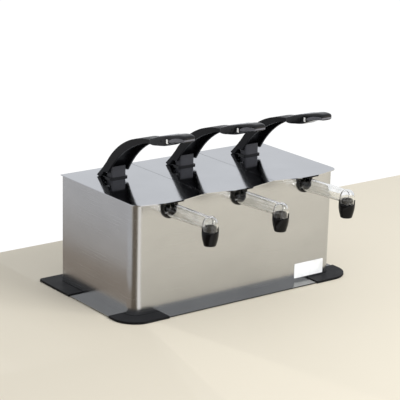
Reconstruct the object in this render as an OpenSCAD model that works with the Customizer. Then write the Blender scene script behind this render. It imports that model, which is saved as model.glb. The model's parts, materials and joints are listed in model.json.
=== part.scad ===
// Three-pump condiment dispenser: a stainless box on a flanged base, with three
// lift-out lids that each carry a lever-driven pump, a clear spout and a nozzle.
// Millimetres, +Z up, front towards -Y. The origin is on the table, at the
// bottom centre of the whole dispenser.

/* [Box] */
// Width of the box across the front
box_w = 500; // [492:2:540]
// Depth of the box, front face to rear face
box_d = 254; // [250:2:290]
// Height of the box wall above the base plate
box_h = 223.5; // [200:0.5:260]
// Thickness of the box sheet
sheet = 1.5; // [1:0.25:2]
// Outside radius of the two front corners
front_r = 21; // [12:1:30]
// Outside radius of the two rear corners
rear_r = 5; // [3:1:10]
// Width of the rim folded inwards along the top
rim = 10; // [8:1:12]

/* [Base] */
// Distance the base plate stands out around the box
flange = 32.5; // [26:0.5:40]
// Thickness of the base plate
plate_t = 1.5; // [1.5:0.25:3]
// Outside radius of the front corners of the base plate
plate_r = 48; // [30:1:60]
// Outside radius of the rear corners of the base plate
plate_rear_r = 6; // [4:1:20]
// Thickness of a corner foot below the base plate
foot_h = 1.5; // [1.5:0.25:4]
// Thickness of a corner foot above the base plate
foot_cap = 2; // [1.5:0.25:4]
// Thickness of a corner foot outside the plate edge
foot_lip = 1.5; // [1:0.25:3]
// Length of a front foot along the front edge
foot_long = 98; // [80:1:120]
// Length of a front foot along the side edge
foot_short = 66; // [50:1:80]
// Length of a rear foot along the side edge
foot_rear = 114; // [80:1:120]

/* [Lid] */
// Centre distance of the pumps, which is also the lid module
pitch = 168; // [164:1:172]
// Gap between two lids
lid_gap = 0.8; // [0.6:0.1:1.5]
// Thickness of the lid sheet
lid_t = 1.5; // [1:0.25:2]
// Distance a lid stands out behind the box
lid_back = 2; // [0:0.5:4]
// Distance the lid corners stand out in front of the box
lid_front = 5; // [3:0.5:8]
// Depth of the prow over the spout, beyond the lid corners
prow_d = 14; // [8:1:20]
// Half width of the flat nose of the prow
prow_half = 22; // [18:1:30]

/* [Pump] */
// Distance of the plunger axis behind the front face
rod_u = 179; // [178.5:0.5:179.5]
// Radius of the plunger rod
rod_r = 7; // [6.5:0.5:7.5]
// Bore radius of the pump barrel
bore_r = 23; // [22:0.5:24]
// Wall of the pump barrel
barrel_wall = 4; // [3:0.5:5]
// Depth of the barrel bottom below the lid top
barrel_h = 66; // [62:1:80]
// Radius of the steel inlet ball
ball_r = 9.5; // [9:0.5:10]

/* [Lever] */
// Distance of the lever pivot behind the front face
pivot_u = 201; // [200:0.5:202]
// Height of the lever pivot above the lid top
pivot_v = 7; // [6.9:0.1:7.5]
// Height of the link pin above the lid top
link_v = 15; // [14.5:0.25:15.5]
// Half width of the lever fork at its heel
fork_half = 26; // [25.5:0.5:28]
// Half width of the lever where the grip starts
neck_half = 17.5; // [15:0.5:19]
// Wall of the lever channel
lever_wall = 4; // [3:0.5:4]
// Full press of the lever
lever_press = 20; // [10:1:20]

/* [Spout] */
// Distance of the nozzle axis in front of the box
spout_reach = 131; // [100:1:150]
// Rise of the spout towards the nozzle
spout_rise = 2; // [0:0.5:3]
// Depth of the spout axis below the lid top, at the box front
spout_drop = 19.5; // [19:0.5:21]
// Outside radius of the clear tube at the collar
tube_r = 14.5; // [13:0.5:14.5]
// Outside radius of the elbow and its cup
elbow_r = 15; // [14:0.5:15]

/* [Hidden] */
$fn = 96;
SIDES = ["left", "middle", "right"];
SHARED = [
    "front_panel", "body_shell", "base_plate", "corner_feet", "pouch_divider_left", "pouch_divider_right",
    "base_rivets", "nameplate"
];
PER_PUMP = [
    "lid", "pump_head", "pump_body", "head_screws", "outlet_tube", "nozzle", "nozzle_valve",
    "pouch_connector", "lever_arm", "lever_grip", "grip_label", "pivot_pin", "link_pin",
    "piston", "piston_seal", "return_spring", "inlet_ball"
];

eps = 0.01;
// Front face of the box, placed so that the origin is the middle of the whole depth
rear_reach = box_d + flange + foot_lip;
front_reach = spout_reach + elbow_r;
front_y = -(rear_reach - front_reach) / 2;
box_y = front_y + box_d / 2;
plate_z = foot_h + plate_t;
rim_z = plate_z + box_h;
lid_z = rim_z + lid_t;
lid_half = (pitch - lid_gap) / 2;
plate_w = box_w + 2 * flange;
plate_d = box_d + 2 * flange;

// Folded lip and ribs under a lid, and how far they bite into its sheet
lip_h = 1.5;
lid_rib_x = 69.5;
lid_rib_u = 26;
lid_rib_h = 8;
bite = 0.5;

// Distance from the front face to the seam between the two sheets of the box
seam_u = 32;

// Notch in the front wall and the collar of the pump that sits in it
collar_r = 17.5;
notch_r = collar_r + 0.6;
collar_u = -5;
collar_len = 11;
tube_len = spout_reach / cos(spout_rise);
elbow_v = -spout_drop + spout_reach * tan(spout_rise);

// Pump head on top of the lid
head_half = 21;
head_u0 = 170;
head_u1 = 217;
head_t = 3;
// Cap of the plunger, seen from the side: its rear slopes down under the web of the lever
cap_half = 18;
cap_u0 = 172;
cap_u1 = 189;
cap_low = -1;
cap_h = 25;
cap_gap = 0.5;
pivot_r = 2.5;
link_r = 2;
slot_gap = 0.4;
screw_r = 2;
screw_head_r = 3.8;
screw_head_h = 2.4;
pocket_h = 3;
screw_x = 14;
screw_u = [194, 212];

// Link pin path: how far it swings forwards and drops at full press
link_a = pivot_u - rod_u;
link_h = link_v - pivot_v;
link_drop = link_a * sin(lever_press) + link_h * (1 - cos(lever_press));
link_swing = link_h * sin(lever_press) - link_a * (1 - cos(lever_press));

// Pump below the lid
guide_h = 13;
guide_fit = 0.08;
piston_h = 10;
piston_gap = 1.5;
seal_r = 2;
seal_fit = 0.07;
floor_t = 5;
riser_u = 142;
riser_r = 12;
port_v = -56;
port_r = 10;
arm_r = 14;
passage_r = 7;
joint_u = rod_u - bore_r - 1.5;

// Inlet neck under the barrel, with the seat of the ball near its bottom
neck_r = 17;
neck_h = 21;
neck_v = -barrel_h - floor_t - neck_h;
seat_v = neck_v + 4;
seat_r = 7;
inlet_r = 12;
ball_lift = 3.5;
ball_rise = sqrt(ball_r * ball_r - seat_r * seat_r) + 0.05;

// Collar nut and spike that connect a pouch to the neck
nut_r = 22.5;
nut_h = 16;
nut_floor = 4;
nut_grooves = 18;
spike_r = 10;
spike_h = 18;
tip_r = 9;
tip_h = 20;
spike_bore = 6.5;

// Lever side view: two arcs, centre and radius, in (u, v) behind the front face
// and above the lid top
lever_top = [38, -62, 171.5];
lever_low = [1.6, -101, 207.8];
fork_v = 14;
neck_u = 36;
// Free circle around the pivot boss, between the cheeks
heel_gap = 10.6;
tongue_u = 4;
tongue_half = 10;
pin_stop = -fork_half + 1.5;

function arc(cx, cy, r, a0, a1, n) =
    [for (i = [0:n]) [cx + r * cos(a0 + (a1 - a0) * i / n), cy + r * sin(a0 + (a1 - a0) * i / n)]];

// Shared shapes

module rounded_rect(w, d, r_front, r_back) {
    translate([-w / 2, -d / 2 + r_front]) square([w, d - r_front - r_back]);
    translate([-w / 2 + r_front, -d / 2]) square([w - 2 * r_front, r_front + eps]);
    translate([-w / 2 + r_back, d / 2 - r_back - eps]) square([w - 2 * r_back, r_back + eps]);
    for (s = [-1, 1]) {
        translate([s * (w / 2 - r_front), -d / 2 + r_front]) circle(r_front);
        translate([s * (w / 2 - r_back), d / 2 - r_back]) circle(r_back);
    }
}

// Children drawn in the box frame: z from the underside of the sheet work
module on_box(z) translate([0, box_y, z]) children();

// Children drawn in a pump frame: x from the pump axis, y behind the front face,
// z above the lid top
module at_pump(i) translate([(i - 1) * pitch, front_y, lid_z]) children();

// A side view drawn in (u, v), extruded across the pump
module across(w) rotate([90, 0, 90]) linear_extrude(w, center = true) children();

module screw_places() for (u = screw_u, s = [-1, 1]) translate([s * screw_x, u, 0]) children();

// A level cylinder that runs backwards from one distance behind the front face to another
module along_pump(from, to, v, r) translate([0, from, v]) rotate([-90, 0, 0]) cylinder(h = to - from, r = r);

module cross_bore(u, v, r, w) translate([0, u, v]) rotate([0, 90, 0]) cylinder(h = w, r = r, center = true);

// A cylinder that lies along the spout, from one distance in front of the box to another
module along_spout(from, to, r_from, r_to)
    translate([0, 0, -spout_drop])
        rotate([90 - spout_rise, 0, 0])
            translate([0, 0, from]) cylinder(h = to - from, r1 = r_from, r2 = r_to);

// Box and base

module notch() {
    translate([-notch_r, -5, rim_z - plate_z - spout_drop + lid_t])
        cube([2 * notch_r, rim + 10, spout_drop + 5]);
    translate([0, -5, rim_z - plate_z - spout_drop + lid_t])
        rotate([-90, 0, 0]) cylinder(h = rim + 10, r = notch_r);
}

module folded_box() difference() {
    on_box(plate_z) linear_extrude(box_h) rounded_rect(box_w, box_d, front_r, rear_r);
    on_box(plate_z + sheet)
        linear_extrude(box_h - 2 * sheet)
            rounded_rect(box_w - 2 * sheet, box_d - 2 * sheet, front_r - sheet, rear_r - sheet);
    on_box(plate_z - 1)
        linear_extrude(box_h + 2)
            rounded_rect(box_w - 2 * rim, box_d - 2 * rim, front_r - rim, 2);
    for (i = [0:2]) translate([(i - 1) * pitch, front_y, plate_z]) notch();
    rivet_places() translate([0, 0, -1]) cylinder(h = 5, r = screw_r + 0.1);
}

// The box is made of two sheets: the front with its rounded corners, and the sides with the rear
module front_zone(grow)
    translate([-box_w, front_y - 10, 0]) cube([2 * box_w, seam_u + 10, lid_z + grow]);

module front_panel() color("silver")
    intersection() {
        folded_box();
        front_zone(0);
    }

module body_shell() color("silver")
    difference() {
        folded_box();
        front_zone(5);
    }

// Rivets join the folded foot of the box to the base plate
rivet_x = 150;
rivet_head = 1;

module rivet_places()
    for (x = [-rivet_x, 0, rivet_x], s = [-1, 1])
        translate([x, box_y + s * (box_d / 2 - rim / 2 - sheet / 2), plate_z]) children();

module base_plate() color("dimgray")
    difference() {
        on_box(foot_h) linear_extrude(plate_t) rounded_rect(plate_w, plate_d, plate_r, plate_rear_r);
        rivet_places() translate([0, 0, -plate_t - 1]) cylinder(h = plate_t + 2, r = screw_r + 0.1);
    }

module base_rivets() color("lightgray")
    rivet_places() {
        translate([0, 0, -plate_t]) cylinder(h = plate_t + sheet, r = screw_r);
        translate([0, 0, sheet]) cylinder(h = rivet_head, r1 = 3.6, r2 = 2.2);
        translate([0, 0, -plate_t - rivet_head]) cylinder(h = rivet_head, r1 = 2.2, r2 = 3.6);
    }

module foot_plan(grow, leg_x, leg_y, front) intersection() {
    rounded_rect(plate_w + 2 * grow, plate_d + 2 * grow, plate_r + grow, plate_rear_r + grow);
    translate([-plate_w / 2 - grow, front ? -plate_d / 2 - grow : plate_d / 2 - leg_y + grow])
        square([leg_x, leg_y]);
}

module corner_foot(front) {
    leg_x = front ? foot_long : foot_short;
    leg_y = front ? foot_short : foot_rear;
    difference() {
        on_box(0) linear_extrude(plate_z + foot_cap) foot_plan(foot_lip, leg_x, leg_y, front);
        on_box(foot_h) linear_extrude(plate_t) rounded_rect(plate_w, plate_d, plate_r, plate_rear_r);
        on_box(plate_z - eps)
            linear_extrude(foot_cap + 1)
                rounded_rect(box_w + 0.6, box_d + 0.6, front_r + 0.3, rear_r + 0.3);
    }
}

module corner_feet() color([0.12, 0.12, 0.13])
    for (front = [true, false]) {
        corner_foot(front);
        mirror([1, 0, 0]) corner_foot(front);
    }

// A divider is a sheet with a T on top that carries the edges of two lids
module pouch_divider(s) color("silver")
    translate([s * pitch / 2, 0, 0]) {
        translate([-sheet / 2, front_y + sheet, plate_z + sheet])
            cube([sheet, box_d - 2 * sheet, box_h - 2 * sheet]);
        translate([-12, front_y + rim + 0.3, rim_z - sheet])
            cube([24, box_d - 2 * rim - 0.6, sheet]);
        for (end = [front_y + sheet, front_y + box_d - sheet - 1.2])
            translate([0, end, plate_z + sheet]) cube([14, 1.2, box_h - 2 * sheet - 0.3]);
    }

module nameplate() color("white")
    translate([189, front_y, plate_z + 20.5])
        rotate([90, 0, 0]) linear_extrude(0.8) rounded_rect(76, 31, 2, 2);

// Lid

// Slope of the prow flanks, and the corner arc that leads from a side into a flank
flank = atan(prow_d / (lid_half - prow_half));
nose_u = -lid_front - prow_d;

function corner_u(r) = -lid_front + r * (1 - sin(flank)) / cos(flank);

module lid_plan(i) {
    r_left = i == 0 ? front_r : 2;
    r_right = i == 2 ? front_r : 2;
    polygon(concat(
        [[-lid_half, box_d + lid_back]],
        arc(-lid_half + r_left, corner_u(r_left), r_left, 180, 270 - flank, 12),
        [[-prow_half, nose_u], [prow_half, nose_u]],
        arc(lid_half - r_right, corner_u(r_right), r_right, 270 + flank, 360, 12),
        [[lid_half, box_d + lid_back]]
    ));
}

module lid(i) color("lightsteelblue")
    at_pump(i) difference() {
        union() {
            translate([0, 0, -lid_t]) linear_extrude(lid_t) lid_plan(i);
            // Lip folded down at the nose of the prow
            translate([-prow_half + 1, nose_u + 0.2, -lid_t - lip_h])
                cube([2 * prow_half - 2, lid_t, lip_h + bite]);
            // Ribs that drop inside the rim and stop the lid from sliding
            for (s = [-1, 1])
                translate([s * lid_rib_x - sheet / 2, lid_rib_u, -lid_t - lid_rib_h])
                    cube([sheet, box_d - 2 * lid_rib_u, lid_rib_h + bite]);
        }
        translate([0, 0, -10]) linear_extrude(20) cap_plan(cap_gap);
        screw_places() translate([0, 0, -10]) cylinder(h = 20, r = screw_r + 0.2);
    }

// Outline of the plunger cap, and of the opening it slides in
module cap_plan(grow)
    translate([0, (cap_u0 + cap_u1) / 2])
        rounded_rect(2 * (cap_half + grow), cap_u1 - cap_u0 + 2 * grow, 5 + grow, 2 + grow);

// Pump head, clamped on top of the lid

module pump_head(i) color([0.2, 0.2, 0.22])
    at_pump(i) difference() {
        union() {
            translate([0, (head_u0 + head_u1) / 2, 0])
                linear_extrude(head_t) rounded_rect(2 * head_half, head_u1 - head_u0, 4, 4);
            // Pivot boss between the cheeks of the fork
            across(2 * head_half) {
                translate([pivot_u - 7, 0]) square([14, pivot_v]);
                translate([pivot_u, pivot_v]) circle(7);
            }
        }
        translate([0, 0, -1]) linear_extrude(head_t + 2) cap_plan(cap_gap);
        cross_bore(pivot_u, pivot_v, pivot_r + 0.05, 60);
        screw_places() translate([0, 0, -1]) cylinder(h = 3.6, r = screw_r);
    }

// Screws from below, with their heads sunk in the flange of the pump body
module head_screws(i) color("silver")
    at_pump(i) screw_places() {
        top = -lid_t - guide_h + pocket_h;
        translate([0, 0, top - 0.5]) cylinder(h = 2.6 - top + 0.5, r = screw_r);
        difference() {
            translate([0, 0, top - screw_head_h]) cylinder(h = screw_head_h, r = screw_head_r);
            translate([0, 0, top - screw_head_h - 1]) cylinder(h = 2.4, r = 2, $fn = 6);
        }
    }

// Pump body, below the lid: barrel, inlet neck, riser, outlet arm and collar

module pump_housing() difference() {
    union() {
        // Mounting flange
        translate([0, (head_u0 + head_u1) / 2 + 1, -lid_t - guide_h])
            linear_extrude(guide_h) rounded_rect(46, 52, 6, 6);
        translate([0, rod_u, -barrel_h - floor_t])
            cylinder(h = barrel_h + floor_t - lid_t, r = bore_r + barrel_wall);
        translate([0, rod_u, neck_v]) cylinder(h = neck_h + 1, r = neck_r);
        // Riser, from the bottom port up to the outlet arm
        translate([0, riser_u, port_v - riser_r])
            cylinder(h = -spout_drop - port_v + riser_r, r = riser_r);
        along_pump(riser_u, joint_u, port_v, port_r);
        // Outlet arm and the collar in the notch
        along_pump(3, joint_u, -spout_drop, arm_r);
        along_pump(collar_u, 20, -spout_drop, collar_r);
        translate([-collar_r, collar_u, -spout_drop])
            cube([2 * collar_r, collar_len, spout_drop - lid_t - 0.2]);
    }
    translate([0, rod_u, -barrel_h]) cylinder(h = barrel_h - lid_t - guide_h, r = bore_r);
    translate([0, rod_u, -20]) cylinder(h = 30, r = rod_r + guide_fit);
    // Pocket that the cap of the plunger sinks into
    translate([0, 0, cap_low - link_drop - cap_gap]) linear_extrude(30) cap_plan(cap_gap);
    // Inlet, with the ball seat at its bottom
    translate([0, rod_u, seat_v]) cylinder(h = -barrel_h - seat_v + 1, r = inlet_r);
    translate([0, rod_u, neck_v - 1]) cylinder(h = 10, r = seat_r);
    // Product passage, drilled from three sides
    along_pump(riser_u, rod_u - bore_r + 3, port_v, passage_r - 1);
    translate([0, riser_u, port_v - passage_r])
        cylinder(h = -spout_drop - port_v + passage_r, r = passage_r - 0.5);
    along_pump(10, riser_u + passage_r, -spout_drop, passage_r);
    along_spout(-14, 20, tube_r + 0.1, tube_r + 0.1);
    screw_places() {
        translate([0, 0, -20]) cylinder(h = 30, r = screw_r + 0.2);
        translate([0, 0, -lid_t - guide_h - 1]) cylinder(h = pocket_h + 1, r = screw_head_r + 0.4);
    }
}

// Bars across the top of the inlet, which keep the ball in
module ball_bars() {
    low = seat_v + ball_rise + ball_r + ball_lift + 0.3;
    translate([0, rod_u, low]) for (a = [0, 90])
        rotate([0, 0, a]) translate([-inlet_r - 1, -1, 0]) cube([2 * inlet_r + 2, 2, -barrel_h - bite - low]);
}

module pump_body(i) color([0.15, 0.15, 0.16])
    at_pump(i) {
        pump_housing();
        ball_bars();
    }

module inlet_ball(i) color("silver")
    at_pump(i) translate([0, rod_u, seat_v + ball_rise]) sphere(ball_r);

// Collar nut with a spike that opens the pouch
module pouch_connector(i) color("gainsboro")
    at_pump(i) translate([0, rod_u, neck_v]) difference() {
        union() {
            difference() {
                translate([0, 0, -nut_floor]) cylinder(h = nut_h, r = nut_r);
                for (k = [0:nut_grooves - 1])
                    rotate([0, 0, k * 360 / nut_grooves])
                        translate([nut_r + 0.6, 0, -nut_floor - 1]) cylinder(h = nut_h + 2, r = 2);
            }
            translate([0, 0, -spike_h]) cylinder(h = spike_h - 1, r = spike_r);
            translate([0, 0, -spike_h - tip_h]) cylinder(h = tip_h + 1, r = tip_r);
        }
        cylinder(h = nut_h, r = neck_r + 0.1);
        translate([0, 0, -spike_h - tip_h - 1]) cylinder(h = spike_h + tip_h + 2, r = spike_bore);
        // Slanted cut that makes the tip
        translate([0, -tip_r, -spike_h - tip_h])
            rotate([45, 0, 0]) translate([-tip_r - 1, -5, -40]) cube([2 * tip_r + 2, 60, 40]);
    }

// Piston group: cap, rod and piston in one moulding

module cap_side() polygon([
    [cap_u0, cap_low],
    [cap_u0, cap_h],
    [cap_u0 + 2, cap_h],
    [cap_u1 - 3, link_v - 0.4],
    [cap_u1, link_v - 6],
    [cap_u1, cap_low]
]);

module piston(i) color([0.2, 0.2, 0.22])
    at_pump(i) translate([0, rod_u, 0]) difference() {
        top = -lid_t - guide_h - piston_gap;
        union() {
            translate([0, 0, top - bite]) cylinder(h = cap_low - top + 2 * bite, r = rod_r);
            translate([0, 0, top - piston_h]) cylinder(h = piston_h, r = bore_r - 0.5);
            translate([0, -rod_u, 0]) intersection() {
                across(2 * cap_half + 2) cap_side();
                translate([0, 0, cap_low - 1]) linear_extrude(cap_h + 5) cap_plan(0);
            }
        }
        // Groove for the seal
        translate([0, 0, top - piston_h / 2 - seal_r - 0.2]) difference() {
            cylinder(h = 2 * seal_r + 0.4, r = bore_r + 1);
            translate([0, 0, -1]) cylinder(h = 2 * seal_r + 2.4, r = bore_r - seal_fit - 2 * seal_r);
        }
        // Slot for the link pin
        translate([-20, -link_swing - link_r - slot_gap, link_v - link_r - slot_gap])
            cube([40, link_swing + 2 * (link_r + slot_gap), 2 * (link_r + slot_gap)]);
    }

module piston_seal(i) color([0.7, 0.2, 0.1])
    at_pump(i) translate([0, rod_u, -lid_t - guide_h - piston_gap - piston_h / 2])
        rotate_extrude() translate([bore_r - seal_fit - seal_r, 0]) circle(seal_r, $fn = 32);

// Compression spring between the piston and the bottom of the barrel
spring_top = -lid_t - guide_h - piston_gap - piston_h;
spring_turns = 6;
spring_wire = 1.3;
spring_r = 17;
spring_steps = 18;

function spring_point(k, a) =
    let (
        t = k / (spring_turns * spring_steps),
        turn = 360 * k / spring_steps,
        r = spring_r + spring_wire * cos(a),
        z0 = -barrel_h + spring_wire,
        z1 = spring_top - spring_wire
    )
    [r * cos(turn), r * sin(turn), z0 + (z1 - z0) * t + spring_wire * sin(a)];

module return_spring(i) color("silver")
    at_pump(i) translate([0, rod_u, 0]) {
        n = spring_turns * spring_steps;
        sides = 6;
        points = [for (k = [0:n], j = [0:sides - 1]) spring_point(k, 360 * j / sides)];
        walls = [for (k = [0:n - 1], j = [0:sides - 1]) [
            k * sides + j,
            k * sides + (j + 1) % sides,
            (k + 1) * sides + (j + 1) % sides,
            (k + 1) * sides + j
        ]];
        ends = [
            [for (j = [sides - 1:-1:0]) j],
            [for (j = [0:sides - 1]) n * sides + j]
        ];
        polyhedron(points, concat(walls, ends), convexity = 10);
    }

// Spout

// Depth of the cup below the centre of the elbow
cup_h = 19.5;

module outlet_tube(i) color([0.85, 0.9, 0.95, 0.4])
    at_pump(i) difference() {
        union() {
            along_spout(-12, tube_len, tube_r, tube_r - 1.5);
            translate([0, -spout_reach, elbow_v]) sphere(elbow_r);
            translate([0, -spout_reach, elbow_v - cup_h]) cylinder(h = cup_h, r = elbow_r);
        }
        along_spout(-13, tube_len, tube_r - 2.5, tube_r - 4);
        translate([0, -spout_reach, elbow_v]) sphere(elbow_r - 2.4);
        translate([0, -spout_reach, elbow_v - cup_h - 1]) cylinder(h = cup_h + 1, r = elbow_r - 2.4);
    }

// Nozzle: height from its bottom to the centre of the elbow, to its shoulder and to its neck top
nozzle_neck = 12.5;
nozzle_h = 43;
shoulder_h = nozzle_h - cup_h - 0.2;
neck_top = 37.5;
lug_turn = 143;

// Side view of a lug that locks the nozzle in the cup
module lug_side() polygon([
    [13, shoulder_h - 4],
    [14.2, shoulder_h - 4],
    [17.3, shoulder_h - 0.9],
    [17.3, shoulder_h + 7.7],
    [elbow_r + 0.3, shoulder_h + 7.7],
    [elbow_r + 0.3, shoulder_h],
    [13, shoulder_h]
]);

module nozzle(i) color([0.08, 0.08, 0.09])
    at_pump(i) translate([0, -spout_reach, elbow_v - nozzle_h]) {
        rotate_extrude() difference() {
            polygon(concat(
                [[0, 0], [10.5, 0]],
                arc(-28.4, 20, 43.2, -24, 4.2, 12),
                [[14.6, shoulder_h], [nozzle_neck, shoulder_h], [nozzle_neck, neck_top], [0, neck_top]]
            ));
            square([6, 8]);
            translate([0, 3]) square([9, nozzle_h]);
        }
        for (turn = [lug_turn, lug_turn + 180])
            rotate([90, 0, turn]) linear_extrude(5, center = true) lug_side();
    }

// Cup-shaped silicone valve with a cross slit
module nozzle_valve(i) color("white")
    at_pump(i) translate([0, -spout_reach, elbow_v - nozzle_h + 3]) difference() {
        union() {
            cylinder(h = 4, r = 8.9);
            translate([0, 0, -2.4]) cylinder(h = 3, r = 5.7);
        }
        translate([0, 0, -0.6]) cylinder(h = 6, r = 4.6);
        for (a = [0, 90]) rotate([0, 0, a]) translate([-3.6, -0.2, -5]) cube([7.2, 0.4, 8]);
    }

// Lever

module fork_side() {
    difference() {
        translate([lever_top.x, lever_top.y]) circle(lever_top[2], $fn = 240);
        translate([lever_low.x, lever_low.y]) circle(lever_low[2], $fn = 240);
        translate([-400, -400]) square([400 + neck_u, 800]);
        translate([-400, -400]) square([900, 400 + fork_v]);
    }
    // Heel that reaches down to the pivot and behind it
    polygon([
        [176, 30],
        [178, 36.8],
        [188.7, 24.8],
        [198, 15.5],
        [211.5, 3],
        [209.5, 1.2],
        [199, 1.2],
        [187, fork_v + 1]
    ]);
}

// Plan of the lever: wide at the fork, narrow at the grip
module lever_plan(inset) polygon([
    [-fork_half + inset, 230],
    [-fork_half + inset, 185],
    [-neck_half + inset, neck_u - 2],
    [neck_half - inset, neck_u - 2],
    [fork_half - inset, 185],
    [fork_half - inset, 230]
]);

module lever_arm(i) color([0.1, 0.1, 0.11])
    at_pump(i) {
        difference() {
            intersection() {
                across(80) fork_side();
                translate([0, 0, -5]) linear_extrude(150) lever_plan(0);
            }
            // Channel between the cheeks, under the web
            intersection() {
                across(80) difference() {
                    union() {
                        translate([lever_top.x, lever_top.y]) circle(lever_top[2] - lever_wall, $fn = 240);
                        translate([pivot_u, pivot_v]) circle(heel_gap);
                        translate([pivot_u, -10]) square([30, 40]);
                    }
                    translate([-400, -400]) square([400 + neck_u + 6, 800]);
                }
                translate([0, 0, -20]) linear_extrude(170) lever_plan(lever_wall);
            }
            pin_way(pivot_u, pivot_v, pivot_r, 40);
            pin_way(rod_u, link_v, link_r, 40);
        }
        // Tongue that carries the grip
        across(2 * tongue_half) tongue_side(0);
    }

module tongue_side(grow) polygon([
    [neck_u + 3, 103.5 - grow],
    [neck_u + 3, 107.5 + grow],
    [tongue_u - grow, 116 + grow],
    [tongue_u - grow, 110 - grow]
]);

// Pins go in from the right and stop inside the left cheek
module pin_way(u, v, r, to)
    translate([pin_stop, u, v]) rotate([0, 90, 0]) cylinder(h = to - pin_stop, r = r);

module pivot_pin(i) color("silver")
    at_pump(i) pin_way(pivot_u, pivot_v, pivot_r, fork_half - 0.5);

module link_pin(i) color("silver")
    at_pump(i) pin_way(rod_u, link_v, link_r, fork_half - 0.8);

// Side view of the grip: a block around the tongue and a paddle for the hand
module grip_side() polygon(concat(
    [[neck_u, 99.5], [neck_u, 113.5]],
    [[20, 120.5], [-4, 127.2]],
    arc(-50, 4.8, 131, 70, 90, 8),
    arc(-56, 126.3, 9.5, 95, 215, 10),
    [[-50, 123.5], [-34, 118.8], [-22, 113.2], [-8, 106.5], [13, 101.2]]
));

module grip_plan() {
    polygon([
        [-18, 40], [-18, -8], [-15.5, -20], [-14, -54],
        [14, -54], [15.5, -20], [18, -8], [18, 40]
    ]);
    intersection() {
        translate([0, -41]) circle(25);
        translate([-14, -80]) square([28, 40]);
    }
}

module lever_grip(i) color([0.07, 0.07, 0.08])
    at_pump(i) difference() {
        intersection() {
            across(60) grip_side();
            translate([0, 0, 80]) linear_extrude(80) grip_plan();
        }
        across(2 * tongue_half + 0.2) tongue_side(0.1);
        label_body(4);
    }

// Blank write-on label let into the top of the grip block
module label_body(proud)
    translate([0, 19, 120.7])
        rotate([-15.6, 0, 0]) translate([-13, -22, -0.9]) cube([26, 22, 0.9 + proud]);

module grip_label(i) color("white")
    at_pump(i) label_body(0.2);

front_panel();
body_shell();
base_plate();
corner_feet();
pouch_divider(-1);  // pouch_divider_left
pouch_divider(1);  // pouch_divider_right
base_rivets();
nameplate();
for (i = [0:2]) {
    lid(i);
    pump_head(i);
    pump_body(i);
    head_screws(i);
    outlet_tube(i);
    nozzle(i);
    nozzle_valve(i);
    pouch_connector(i);
    lever_arm(i);
    lever_grip(i);
    grip_label(i);
    pivot_pin(i);
    link_pin(i);
    piston(i);
    piston_seal(i);
    return_spring(i);
    inlet_ball(i);
}
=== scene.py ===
"""Looks of the three-pump condiment dispenser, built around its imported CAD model.

The studio is laid out in metres in the model's frame. Each pump is described in millimetres in its
own frame: x from the pump axis, u behind the front face of the box, v above the top of the lids.
"""
import json
import math

import bmesh
import bpy
from mathutils import Matrix, Vector


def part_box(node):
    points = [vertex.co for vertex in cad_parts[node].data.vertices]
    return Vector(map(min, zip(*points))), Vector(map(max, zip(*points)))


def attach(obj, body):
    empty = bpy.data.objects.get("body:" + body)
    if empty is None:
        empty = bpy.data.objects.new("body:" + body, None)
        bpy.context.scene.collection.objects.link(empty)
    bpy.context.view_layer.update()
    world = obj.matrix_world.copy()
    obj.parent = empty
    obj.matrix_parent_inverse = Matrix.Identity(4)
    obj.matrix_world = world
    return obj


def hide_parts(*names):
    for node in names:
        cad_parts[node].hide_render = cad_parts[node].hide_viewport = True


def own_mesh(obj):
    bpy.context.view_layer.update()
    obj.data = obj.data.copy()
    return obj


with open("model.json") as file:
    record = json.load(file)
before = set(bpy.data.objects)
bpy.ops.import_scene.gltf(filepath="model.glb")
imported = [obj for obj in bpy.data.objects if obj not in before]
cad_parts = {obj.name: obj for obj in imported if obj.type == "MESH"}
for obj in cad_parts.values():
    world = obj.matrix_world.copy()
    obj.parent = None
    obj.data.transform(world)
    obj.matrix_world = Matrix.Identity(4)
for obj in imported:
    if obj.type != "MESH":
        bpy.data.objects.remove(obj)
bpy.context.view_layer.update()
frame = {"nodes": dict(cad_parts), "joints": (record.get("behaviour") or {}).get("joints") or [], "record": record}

MM = 0.001
SIDES = ("left", "middle", "right")
# The nameplate lies on the front face of the box, and the foot plates of the pumps on the lids
FRONT_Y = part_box("nameplate")[1].y
LID_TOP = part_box("pump_head_left")[0].z
PIVOTS = {j["child"]: Vector(j["pos_m"]) for j in frame["joints"] if j["type"] == "hinge"}


def pump_x(side):
    return PIVOTS["lever_" + side].x


def pump_point(side, x, u, v):
    """A point given in millimetres in a pump's frame, in the model's frame."""
    return Vector((pump_x(side) + x * MM, FRONT_Y + u * MM, LID_TOP + v * MM))


# ---------------------------------------------------------------- camera

CAMERA_AT = Vector((-1.9594, -2.5472, 1.1293))
CAMERA_YAW = math.radians(36.98)
CAMERA_PITCH = math.radians(-16.44)
CAMERA_ROLL = math.radians(1.40)
# Focal length and sensor width in millimetres
CAMERA_LENS = 150.5
CAMERA_SENSOR = 36


def add_camera():
    forward = Vector((
        math.sin(CAMERA_YAW) * math.cos(CAMERA_PITCH),
        math.cos(CAMERA_YAW) * math.cos(CAMERA_PITCH),
        math.sin(CAMERA_PITCH),
    ))
    level_right = forward.cross(Vector((0, 0, 1))).normalized()
    level_up = level_right.cross(forward)
    right = math.cos(CAMERA_ROLL) * level_right + math.sin(CAMERA_ROLL) * level_up
    up = math.cos(CAMERA_ROLL) * level_up - math.sin(CAMERA_ROLL) * level_right
    data = bpy.data.cameras.new("camera")
    data.lens = CAMERA_LENS
    data.sensor_width = CAMERA_SENSOR
    camera = bpy.data.objects.new("camera", data)
    turn = Matrix((right, up, -forward)).transposed().to_4x4()
    camera.matrix_world = Matrix.Translation(CAMERA_AT) @ turn
    bpy.context.scene.collection.objects.link(camera)
    bpy.context.scene.camera = camera


add_camera()

# ---------------------------------------------------------------- materials

NOISE_ROUGHNESS = 0.55
# Nearly all values of a noise lie between these two
NOISE_LOW, NOISE_HIGH = 0.3, 0.7


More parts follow.
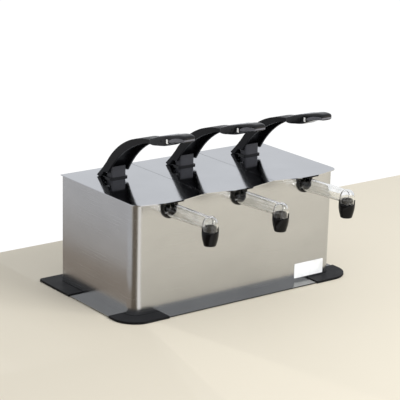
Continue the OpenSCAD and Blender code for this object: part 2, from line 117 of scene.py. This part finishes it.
class Look:
    """A Principled material, built up by its methods. noise and ramp return sockets."""

    def __init__(self, name, **values):
        self.material = bpy.data.materials.new(name)
        self.material.use_nodes = True
        self.tree = self.material.node_tree
        self.shader = self.tree.nodes["Principled BSDF"]
        for socket, value in values.items():
            self.set(socket.replace("_", " "), value)

    def set(self, socket, value):
        if isinstance(value, tuple) and len(value) == 3:
            value = (*value, 1)
        self.shader.inputs[socket].default_value = value

    def add(self, kind, **settings):
        made = self.tree.nodes.new(kind)
        for key, value in settings.items():
            setattr(made, key, value)
        return made

    def link(self, source, target):
        self.tree.links.new(source, target)

    def noise(self, scale, seed=0.0, detail=4.0):
        """Noise over the object's own coordinates, stretched by a scale for each axis."""
        place = self.add("ShaderNodeTexCoord")
        stretch = self.add("ShaderNodeMapping")
        stretch.inputs["Scale"].default_value = scale
        stretch.inputs["Location"].default_value = (seed, seed * 1.7, seed * 0.6)
        texture = self.add("ShaderNodeTexNoise")
        texture.inputs["Scale"].default_value = 1.0
        texture.inputs["Detail"].default_value = detail
        texture.inputs["Roughness"].default_value = NOISE_ROUGHNESS
        self.link(place.outputs["Object"], stretch.inputs["Vector"])
        self.link(stretch.outputs["Vector"], texture.inputs["Vector"])
        return texture.outputs["Fac"]

    def ramp(self, source, low, high):
        """Maps a noise onto the range from low to high."""
        change = self.add("ShaderNodeMapRange")
        change.inputs["From Min"].default_value = NOISE_LOW
        change.inputs["From Max"].default_value = NOISE_HIGH
        change.inputs["To Min"].default_value = low
        change.inputs["To Max"].default_value = high
        self.link(source, change.inputs["Value"])
        return change.outputs["Result"]

    def shades(self, source, dark, light):
        """Colours the base between two colours by a noise."""
        mix = self.add("ShaderNodeMix", data_type="RGBA")
        mix.inputs["A"].default_value = (*dark, 1)
        mix.inputs["B"].default_value = (*light, 1)
        self.link(self.ramp(source, 0, 1), mix.inputs["Factor"])
        self.link(mix.outputs["Result"], self.shader.inputs["Base Color"])

    def rough(self, source, low, high):
        self.link(self.ramp(source, low, high), self.shader.inputs["Roughness"])

    def bump(self, source, depth, strength=1.0):
        bump = self.add("ShaderNodeBump")
        bump.inputs["Strength"].default_value = strength
        bump.inputs["Distance"].default_value = depth
        self.link(source, bump.inputs["Height"])
        self.link(bump.outputs["Normal"], self.shader.inputs["Normal"])

    def grain_across(self, side):
        """Points the grain of the metal at right angles to the surface normal and to side."""
        surface = self.add("ShaderNodeNewGeometry")
        cross = self.add("ShaderNodeVectorMath", operation="CROSS_PRODUCT")
        cross.inputs[1].default_value = side
        self.link(surface.outputs["Normal"], cross.inputs[0])
        self.link(cross.outputs["Vector"], self.shader.inputs["Tangent"])


def tinted(color, factor):
    return tuple(c * factor for c in color)


CLOUD_SCALE = (9, 9, 14)
TEXTURE_SCALE = (900, 900, 900)
PATCH_SCALE = (35, 35, 35)
TEXTURE_STRENGTH = 0.4


def brushed_steel(name, color, scale, side, rough, anisotropy, depth):
    """Sheet steel with grain lines, long along one axis and fine across it."""
    look = Look(name, Metallic=1.0, Anisotropic=anisotropy)
    lines = look.noise(scale, seed=3.1, detail=5)
    clouds = look.noise(CLOUD_SCALE, seed=8.2, detail=3)
    look.shades(clouds, tinted(color, 0.95), tinted(color, 1.03))
    look.rough(lines, *rough)
    look.bump(lines, depth)
    look.grain_across(side)
    return look.material


def moulded_plastic(name, color, rough, grain, **values):
    """Moulded plastic with a fine texture and slightly uneven gloss."""
    look = Look(name, **values)
    texture = look.noise(TEXTURE_SCALE, seed=1.3, detail=2)
    patches = look.noise(PATCH_SCALE, seed=5.4, detail=4)
    look.shades(patches, tinted(color, 0.85), tinted(color, 1.15))
    look.rough(patches, *rough)
    look.bump(texture, grain, TEXTURE_STRENGTH)
    return look.material


WALL = (0.565, 0.57, 0.58)
LID = (0.62, 0.63, 0.655)
BASE = (0.27, 0.27, 0.265)
BRIGHT = (0.7, 0.7, 0.7)
Y_AXIS, Z_AXIS = (0, 1, 0), (0, 0, 1)
# Scales of the grain: low along the brushing, high across it
WALL_GRAIN, LID_GRAIN, TURNED_GRAIN = (5, 5, 1500), (5, 1500, 5), (60, 60, 900)
# Depths of the texture of plastic, in metres
TEXTURED, SMOOTH, POLISHED, CLEAR = 0.00003, 0.00001, 0.000006, 0.000005
# Levels of mirror reflection, all below the usual 0.5
FINE, MATT, DULL = ({"Specular_IOR_Level": level} for level in (0.3, 0.18, 0.1))
LOOKS = {
    "stainless_wall": brushed_steel("brushed_wall", WALL, WALL_GRAIN, Z_AXIS, (0.2, 0.28), 0.6, 0.000005),
    "stainless_lid": brushed_steel("brushed_lid", LID, LID_GRAIN, Y_AXIS, (0.07, 0.11), 0.4, 0.000002),
    "stainless_base": brushed_steel("brushed_base", BASE, LID_GRAIN, Y_AXIS, (0.2, 0.26), 0.4, 0.000006),
    "steel_bright": brushed_steel("bright_steel", BRIGHT, TURNED_GRAIN, Z_AXIS, (0.18, 0.26), 0.2, 0.00002),
    "rubber_black": moulded_plastic("rubber_pads", (0.009, 0.009, 0.01), (0.4, 0.5), TEXTURED, **DULL),
    "head_black": moulded_plastic("pump_head", (0.05, 0.05, 0.056), (0.4, 0.5), TEXTURED, **FINE),
    "pump_black": moulded_plastic("pump_body", (0.006, 0.006, 0.007), (0.14, 0.2), TEXTURED, **FINE),
    "lever_black": moulded_plastic("lever_arm", (0.0065, 0.0065, 0.008), (0.3, 0.4), TEXTURED, **MATT),
    "grip_black": moulded_plastic("grip", (0.0055, 0.0055, 0.007), (0.14, 0.2), POLISHED, **FINE),
    "nozzle_black": moulded_plastic("nozzle", (0.003, 0.003, 0.0035), (0.1, 0.16), POLISHED, **MATT),
    "acetal_white": moulded_plastic("acetal", (0.78, 0.78, 0.75), (0.35, 0.45), TEXTURED),
    "silicone_white": moulded_plastic("silicone", (0.72, 0.73, 0.73), (0.5, 0.6), TEXTURED),
    "seal_red": moulded_plastic("seal", (0.35, 0.04, 0.02), (0.4, 0.5), TEXTURED),
    "label_white": moulded_plastic("label", (0.93, 0.94, 0.94), (0.4, 0.5), SMOOTH, **MATT),
    "clear_tube": moulded_plastic(
        "clear_plastic", (0.97, 0.98, 0.98), (0.02, 0.05), CLEAR, Transmission_Weight=1.0, IOR=1.49, **MATT),
}
# The grip's stripe is raised, and its lighter grey is a painted highlight along the flank
STRIPE_HIGHLIGHT_LOOK = moulded_plastic("grip_highlight_stripe", (0.12, 0.12, 0.14), (0.3, 0.4), SMOOTH)
# The label's light grey is partly a painted highlight on the top face of the block
LABEL_HIGHLIGHT_LOOK = moulded_plastic("grip_label", (0.62, 0.63, 0.67), (0.25, 0.35), SMOOTH)

# ---------------------------------------------------------------- CAD nodes

# Width of the rounded edges in millimetres
BEVELS = {
    "corner_feet": 0.7, "pump_head": 0.6, "pump_body": 0.7, "lever_arm": 1.4, "piston": 0.9,
    "lid": 0.35, "base_plate": 0.3, "nameplate": 0.25,
}
MERGE_DISTANCE = 0.00001
FLAT_ANGLE = math.radians(0.5)
EDGE_ANGLE = math.radians(32)


def soften(piece, width):
    """Rounds the edges of a piece by a width in millimetres."""
    bevel = piece.modifiers.new("bevel", "BEVEL")
    bevel.width = width * MM
    bevel.segments = 3
    bevel.limit_method = "ANGLE"
    bevel.angle_limit = EDGE_ANGLE
    bevel.harden_normals = True


def finish_cad_node(name, slot):
    node = frame["nodes"][name]
    node.data.materials.clear()
    node.data.materials.append(LOOKS[slot])
    kind = name
    for side in SIDES:
        kind = kind.removesuffix("_" + side)
    if kind in BEVELS:
        weld = node.modifiers.new("weld", "WELD")
        weld.merge_threshold = MERGE_DISTANCE
        flat = node.modifiers.new("flat", "DECIMATE")
        flat.decimate_type = "DISSOLVE"
        flat.angle_limit = FLAT_ANGLE
        soften(node, BEVELS[kind])


for row in frame["record"]["subparts"]:
    finish_cad_node(row["node"], row["material_slot"])

# ---------------------------------------------------------------- shapes of modelled pieces


def new_piece(name, mesh, material, body, slot, *cad_nodes):
    """An object that rides on a body and takes the place of the CAD nodes named."""
    mesh.materials.clear()
    mesh.materials.append(material)
    made = bpy.data.objects.new(name, mesh)
    bpy.context.scene.collection.objects.link(made)
    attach(made, body)
    if cad_nodes:
        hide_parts(*cad_nodes)
    return made


def loft(name, rings, closed_ends=True):
    """A smooth skin over rings of points, each with the same number of points."""
    mesh = bpy.data.meshes.new(name)
    count = len(rings[0])
    points = [tuple(p) for ring in rings for p in ring]
    faces = []
    for k in range(len(rings) - 1):
        for j in range(count):
            n = (j + 1) % count
            faces.append((k * count + j, k * count + n, (k + 1) * count + n, (k + 1) * count + j))
    if closed_ends:
        faces.append(tuple(reversed(range(count))))
        faces.append(tuple(range((len(rings) - 1) * count, len(rings) * count)))
    mesh.from_pydata(points, [], faces)
    fix = bmesh.new()
    fix.from_mesh(mesh)
    bmesh.ops.recalc_face_normals(fix, faces=fix.faces)
    fix.to_mesh(mesh)
    fix.free()
    for face in mesh.polygons:
        face.use_smooth = len(face.vertices) == 4
    return mesh


def lathe(name, profile, centre, steps=96):
    """A closed profile of (radius, height) in millimetres, turned around the vertical at centre."""
    rings = []
    for k in range(steps):
        turn = 2 * math.pi * k / steps
        rings.append([
            centre + Vector((r * math.cos(turn), r * math.sin(turn), z)) * MM for r, z in profile])
    rings.append(rings[0])
    mesh = loft(name, rings, closed_ends=False)
    made = bmesh.new()
    made.from_mesh(mesh)
    bmesh.ops.remove_doubles(made, verts=made.verts, dist=0.1 * MERGE_DISTANCE)
    made.to_mesh(mesh)
    made.free()
    return mesh


def spline(stations, steps):
    """Catmull-Rom points between stations, which are tuples of numbers."""
    ends = [stations[0]] + list(stations) + [stations[-1]]
    out = []
    for k in range(1, len(ends) - 2):
        a, b, c, d = ends[k - 1:k + 3]
        for i in range(steps):
            t = i / steps
            out.append(tuple(
                0.5 * (2 * q + (r - p) * t + (2 * p - 5 * q + 4 * r - w) * t * t
                       + (3 * q - p - 3 * r + w) * t ** 3)
                for p, q, r, w in zip(a, b, c, d)))
    out.append(tuple(stations[-1]))
    return out


def box_mesh(low, high):
    mesh = bpy.data.meshes.new("box")
    made = bmesh.new()
    bmesh.ops.create_cube(made, size=1.0)
    for vert in made.verts:
        vert.co = Vector(low[k] + (high[k] - low[k]) * (vert.co[k] + 0.5) for k in range(3))
    made.to_mesh(mesh)
    made.free()
    return mesh


def disc_mesh(centre, radius, depth):
    """A disc across the pump, its radius and depth in millimetres."""
    mesh = bpy.data.meshes.new("disc")
    made = bmesh.new()
    turn = Matrix.Translation(centre) @ Matrix.Rotation(math.pi / 2, 4, "Y")
    bmesh.ops.create_cone(
        made, cap_ends=True, segments=40, radius1=radius * MM, radius2=radius * MM, depth=depth * MM,
        matrix=turn)
    made.to_mesh(mesh)
    made.free()
    return mesh


# ---------------------------------------------------------------- grips

# Sections of block and paddle, back to front: u, top, bottom, half width, squareness
GRIP_STATIONS = [
    (43.4, 110.4, 101.0, 17.0, 6), (42.8, 111.4, 100.2, 17.9, 7), (40.5, 112.9, 100.0, 18.3, 8),
    (34.0, 115.2, 100.0, 18.4, 8), (27.0, 117.8, 100.9, 18.4, 8), (20.0, 120.5, 102.2, 18.3, 8),
    (8.0, 124.0, 104.2, 18.2, 8), (-4.0, 127.4, 106.8, 18.0, 7), (-12.0, 129.6, 110.2, 17.3, 6),
    (-20.0, 131.6, 113.8, 16.3, 5), (-34.0, 135.3, 119.2, 15.4, 4), (-43.0, 136.9, 121.4, 15.0, 4),
    (-50.0, 137.2, 123.0, 14.6, 4), (-55.6, 136.8, 123.8, 14.0, 4), (-58.4, 136.0, 124.2, 13.2, 4),
    (-59.8, 135.0, 124.6, 12.2, 3.5), (-60.4, 133.6, 125.6, 10.0, 3),
]
GRIP_LINE = spline(GRIP_STATIONS, 4)
GRIP_TIP = GRIP_LINE[-1][0]
GRIP_POINTS = 64

# The stripe's lighter grey is a painted highlight along the flank of the paddle.
# Soft stripe let into the paddle. Its middle and half height are shares of the section's height.
STRIPE_START = -18
STRIPE_STEPS = 20
STRIPE_MIDDLE, STRIPE_HALF = 0.34, 0.21
STRIPE_PROUD, STRIPE_DEPTH = 0.12, 1.2

# Painted end highlight: white box between block and paddle, corner to corner in the pump's frame
END_HIGHLIGHT_BOX = (-17.75, -15.2, 113.8), (17.75, -10.6, 122.2)

# Button on either side of the block
BUTTON_X, BUTTON_U, BUTTON_V = 18.1, 6, 115
BUTTON_RADIUS, BUTTON_DEPTH = 2.1, 1.0

# Label on top of the block, its light grey partly a painted highlight on the block's top face
LABEL_START, LABEL_LENGTH, LABEL_HALF = 29, 38, 14.5
LABEL_STEPS = 8
LABEL_CUT = 1.5
LABEL_PROUD, LABEL_SUNK = 0.33, 0.72


def grip_ring(side, station):
    """A superellipse with the sizes of a station."""
    u, top, bottom, half, square = station
    ring = []
    for k in range(GRIP_POINTS):
        turn = 2 * math.pi * (k + 0.5) / GRIP_POINTS
        c, d = math.cos(turn), math.sin(turn)
        x = half * math.copysign(abs(c) ** (2 / square), c)
        v = (top + bottom) / 2 + (top - bottom) / 2 * math.copysign(abs(d) ** (2 / square), d)
        ring.append(pump_point(side, x, u, v))
    return ring


def grip_at(u):
    """The grip's station at a distance behind the front face."""
    for a, b in zip(GRIP_LINE, GRIP_LINE[1:]):
        if a[0] >= u >= b[0]:
            t = (a[0] - u) / (a[0] - b[0])
            return tuple(p + (q - p) * t for p, q in zip(a, b))
    return GRIP_LINE[-1]


def add_grip(side):
    mesh = loft("grip", [grip_ring(side, station) for station in GRIP_LINE])
    new_piece(
        "grip_" + side, mesh, LOOKS["grip_black"], "lever_" + side, "grip_black", "lever_grip_" + side)


def add_grip_stripe(side):
    """Runs along one flank to the tip, across it and back along the other flank."""
    flank = []
    for k in range(STRIPE_STEPS + 1):
        flank.append((k, GRIP_TIP + (STRIPE_START - GRIP_TIP) * (1 - k / STRIPE_STEPS) ** 1.5))
    strip = []
    for sign, part in ((-1, flank), (1, flank[::-1])):
        for k, u in part:
            _, top, bottom, half, _ = grip_at(u)
            middle = bottom + (top - bottom) * STRIPE_MIDDLE
            # The stripe swells from half its height over the first steps
            tall = (top - bottom) * STRIPE_HALF * min(1, 0.5 + k / 6)
            outer = (sign * (half + STRIPE_PROUD), u - STRIPE_PROUD * (k == STRIPE_STEPS))
            inner = (sign * (half - STRIPE_DEPTH), max(u, GRIP_TIP + STRIPE_DEPTH))
            strip.append([
                pump_point(side, *outer, middle - tall), pump_point(side, *outer, middle + tall),
                pump_point(side, *inner, middle + tall), pump_point(side, *inner, middle - tall),
            ])
    mesh = loft("grip_highlight_stripe", strip)
    stripe = new_piece("grip_highlight_stripe_" + side, mesh, STRIPE_HIGHLIGHT_LOOK, "lever_" + side, "grip_black")
    soften(stripe, 0.25)


def add_end_highlight(side):
    # The white box is a painted highlight on the end corner of the block
    low, high = (pump_point(side, *corner) for corner in END_HIGHLIGHT_BOX)
    end_highlight = new_piece(
        "grip_end_highlight_" + side, box_mesh(low, high), LOOKS["label_white"], "lever_" + side, "label_white")
    soften(end_highlight, 0.4)


def add_buttons(side):
    for way, sign in (("l", -1), ("r", 1)):
        centre = pump_point(side, sign * BUTTON_X, BUTTON_U, BUTTON_V)
        mesh = disc_mesh(centre, BUTTON_RADIUS, BUTTON_DEPTH)
        button = new_piece(
            f"grip_button_{way}_{side}", mesh, LOOKS["lever_black"], "lever_" + side, "lever_black")
        soften(button, 0.2)


def add_grip_label(side):
    rows = []
    for k in range(LABEL_STEPS + 1):
        u = LABEL_START - LABEL_LENGTH * k / LABEL_STEPS
        surface = grip_at(u)[1]
        half = LABEL_HALF - LABEL_CUT * (k in (0, LABEL_STEPS))
        low, high = surface - LABEL_SUNK, surface + LABEL_PROUD
        rows.append([
            pump_point(side, -half, u, low), pump_point(side, half, u, low),
            pump_point(side, half, u, high), pump_point(side, -half, u, high),
        ])
    label = new_piece(
        "block_label_" + side, loft("block_label", rows), LABEL_HIGHLIGHT_LOOK, "lever_" + side, "label_white",
        "grip_label_" + side)
    soften(label, 0.2)


# ---------------------------------------------------------------- nozzles

# Radius and height above the bottom, around the wall and back through the bore
NOZZLE_PROFILE = [
    (6.0, 0.0), (10.6, 0.0), (11.3, 0.2), (11.8, 0.8), (12.5, 3.5), (13.6, 7.5), (14.7, 12.0),
    (15.6, 16.5), (16.1, 20.5), (16.3, 24.0), (16.1, 27.2), (15.9, 27.9), (15.5, 28.2), (15.25, 28.0),
    (15.2, 27.6), (15.2, 22.4), (12.4, 22.4), (12.4, 35.8), (12.1, 36.6), (11.5, 37.0), (9.2, 37.0),
    (9.0, 36.8), (9.0, 3.0), (6.0, 3.0),
]
# The spout rises a little on its way from the front face to the elbow above the nozzle
SPOUT_REACH = 131.0
SPOUT_V = -19.5
SPOUT_RISE = math.radians(2)
NOZZLE_V = SPOUT_V + SPOUT_REACH * math.tan(SPOUT_RISE) - 42.0

# Ears of the nozzle: headings in degrees, radii, and rows of height and half angle
EAR_HEADINGS = (("a", 143), ("b", 323))
EAR_INNER, EAR_OUTER = 15.2, 16.3
EAR_ROWS = [(24, 13), (30, 12), (34, 9.5), (35.4, 6)]


def add_nozzle(side):
    foot = pump_point(side, 0, -SPOUT_REACH, NOZZLE_V)
    mesh = lathe("nozzle", NOZZLE_PROFILE, foot)
    new_piece(
        "spout_nozzle_" + side, mesh, LOOKS["nozzle_black"], "pump_" + side, "nozzle_black",
        "nozzle_" + side)
    add_ears(side, foot)


def add_ears(side, foot):
    """Two ears clasp the clear cup above the nozzle."""
    for tag, heading in EAR_HEADINGS:
        rings = []
        for z, half in EAR_ROWS:
            ring = []
            for r, way in ((EAR_INNER, -1), (EAR_INNER, 1), (EAR_OUTER, 1), (EAR_OUTER, -1)):
                turn = math.radians(heading + way * half)
                ring.append(foot + Vector((r * math.cos(turn), r * math.sin(turn), z)) * MM)
            rings.append(ring)
        ear = new_piece(
            f"nozzle_ear_{tag}_{side}", loft("nozzle_ear", rings), LOOKS["nozzle_black"], "pump_" + side,
            "nozzle_black")
        soften(ear, 0.3)


# ---------------------------------------------------------------- return springs

SPRING_RADIUS, WIRE_RADIUS, SPRING_TURNS = 17.0, 1.3, 6
SPRING_LOW, SPRING_HIGH = -66.0, -26.0
# Share of the wire that lies flat at either end
SPRING_FLAT = 0.1
SPRING_STEPS = SPRING_TURNS * 32
WIRE_POINTS = 12


def add_spring(side):
    """The spring stands around the axis of the inlet ball; the plunger squashes it on the real pump, not here."""
    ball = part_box("inlet_ball_" + side)
    centre = Vector(((ball[0].x + ball[1].x) / 2, (ball[0].y + ball[1].y) / 2, LID_TOP + SPRING_LOW * MM))
    length = SPRING_HIGH - SPRING_LOW
    rings = []
    for k in range(SPRING_STEPS + 1):
        share = k / SPRING_STEPS
        turn = 2 * math.pi * SPRING_TURNS * share
        climb = min(max((share - SPRING_FLAT) / (1 - 2 * SPRING_FLAT), 0), 1)
        height = WIRE_RADIUS + (length - 2 * WIRE_RADIUS) * climb
        out = Vector((math.cos(turn), math.sin(turn), 0))
        ring = []
        for j in range(WIRE_POINTS):
            around = 2 * math.pi * j / WIRE_POINTS
            rise = Vector((0, 0, height + WIRE_RADIUS * math.sin(around)))
            ring.append(centre + (out * (SPRING_RADIUS + WIRE_RADIUS * math.cos(around)) + rise) * MM)
        rings.append(ring)
    spring = new_piece(
        "coil_spring_" + side, loft("coil_spring", rings), LOOKS["steel_bright"], "pump_" + side,
        "steel_bright", "return_spring_" + side)
    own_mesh(spring)


for each in SIDES:
    add_grip(each)
    add_grip_stripe(each)
    add_end_highlight(each)
    add_buttons(each)
    add_grip_label(each)
    add_nozzle(each)
    add_spring(each)

# ---------------------------------------------------------------- floor and light

FLOOR_COLOR = (0.74, 0.68, 0.56)
FLOOR_HALF = 6
FLOOR_BACK = 0.42

BACKDROP_HALF, BACKDROP_Y, BACKDROP_TOP = 9, 6, 4
BACKDROP_GLOW = 1.05

# Patches in front of the round corner: name, headings, height, colour and strength
CORNER_PATCHES = [
    ("flag_corner", 196, 250, 0.0012, (0.16, 0.13, 0.095), 1.0),
    ("strip_corner", 256, 282, 0.0014, (1.0, 0.97, 0.93), 1.2),
]
CORNER_RADIUS = 0.021
CORNER_NEAR, CORNER_FAR = 0.04, 2.5
WEDGE_STEPS = 6

# Patches to the left of the box, darker near it as painted floor shade: name, near and far edge, and colour
LEFT_PATCHES = [
    ("left_far", 0.30, 1.6, (0.60, 0.60, 0.61)),
    ("left_middle", 0.16, 0.30, (0.50, 0.48, 0.46)),
    ("left_near", 0.04, 0.16, (0.34, 0.29, 0.24)),
]
LEFT_HEIGHT = 0.0006
LEFT_BEFORE, LEFT_BEHIND = 0.1, 0.9

WORLD_COLOR = (0.95, 0.97, 1.0, 1)
WORLD_STRENGTH = 0.8


def flat_piece(name, corners, look):
    """A flat polygon that belongs to the studio and not to the object."""
    mesh = bpy.data.meshes.new(name)
    mesh.from_pydata(corners, [], [tuple(range(len(corners)))])
    mesh.materials.append(look.material)
    made = bpy.data.objects.new(name, mesh)
    bpy.context.scene.collection.objects.link(made)
    return made


def rectangle(x_low, x_high, y_low, y_high, z):
    return [(x_low, y_low, z), (x_high, y_low, z), (x_high, y_high, z), (x_low, y_high, z)]


def add_floor():
    look = Look("floor", Roughness=0.6, Specular_IOR_Level=0.2)
    look.shades(look.noise((1.5, 1.5, 1.5)), tinted(FLOOR_COLOR, 0.98), FLOOR_COLOR)
    flat_piece("floor", rectangle(-FLOOR_HALF, FLOOR_HALF, -FLOOR_HALF, FLOOR_BACK, 0), look)


def glow(name, color, strength):
    look = Look(name, Roughness=1.0, Specular_IOR_Level=0.0, Emission_Strength=strength)
    look.set("Base Color", (0, 0, 0))
    look.set("Emission Color", color)
    return look


def add_patch(name, corners, color, strength):
    """A patch of the floor that shows only in mirror reflections."""
    patch = flat_piece(name, corners, glow(name, color, strength))
    patch.visible_camera = False
    patch.visible_diffuse = False
    patch.visible_shadow = False
    patch.visible_transmission = False


def wedge(centre, start, end, near, far, z):
    """Corners of a ring sector on the floor, between two headings in degrees."""
    turns = [math.radians(start + (end - start) * k / WEDGE_STEPS) for k in range(WEDGE_STEPS + 1)]
    outer = [(centre.x + far * math.cos(a), centre.y + far * math.sin(a), z) for a in turns]
    inner = [(centre.x + near * math.cos(a), centre.y + near * math.sin(a), z) for a in reversed(turns)]
    return outer + inner


def add_patches():
    """Dark and light patches give the steel the streaks that a small studio would."""
    low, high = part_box("body_shell")
    corner = Vector((low.x + CORNER_RADIUS, FRONT_Y + CORNER_RADIUS))
    for name, start, end, height, color, strength in CORNER_PATCHES:
        add_patch(name, wedge(corner, start, end, CORNER_NEAR, CORNER_FAR, height), color, strength)
    for name, near, far, color in LEFT_PATCHES:
        corners = rectangle(
            low.x - far, low.x - near, FRONT_Y - LEFT_BEFORE, high.y + LEFT_BEHIND, LEFT_HEIGHT)
        add_patch(name, corners, color, 1.0)


def add_backdrop():
    """A white wall far behind the floor, seen only by the camera and through the clear spouts."""
    look = glow("backdrop_glow", (1, 1, 1), BACKDROP_GLOW)
    corners = [
        (x * BACKDROP_HALF, BACKDROP_Y, z * BACKDROP_TOP) for x, z in ((-1, -1), (1, -1), (1, 1), (-1, 1))]
    wall = flat_piece("backdrop", corners, look)
    wall.visible_diffuse = False
    wall.visible_glossy = False
    wall.visible_shadow = False


def add_world():
    world = bpy.data.worlds.new("studio")
    bpy.context.scene.world = world
    world.use_nodes = True
    background = world.node_tree.nodes["Background"]
    background.inputs["Color"].default_value = WORLD_COLOR
    background.inputs["Strength"].default_value = WORLD_STRENGTH


def add_area(name, at, target, size, power):
    """A square light that aims at a target and doesn't show in the steel."""
    data = bpy.data.lights.new(name, "AREA")
    data.shape = "SQUARE"
    data.size = size
    data.energy = power
    light = bpy.data.objects.new(name, data)
    light.location = at
    light.visible_glossy = False
    light.rotation_euler = (Vector(target) - Vector(at)).to_track_quat("-Z", "Y").to_euler()
    bpy.context.scene.collection.objects.link(light)


add_floor()
add_patches()
add_backdrop()
add_world()
add_area("key_light", at=(1.2, -2.4, 1.9), target=(0, 0, 0.1), size=1.6, power=75)
bpy.context.scene.view_settings.view_transform = "Standard"
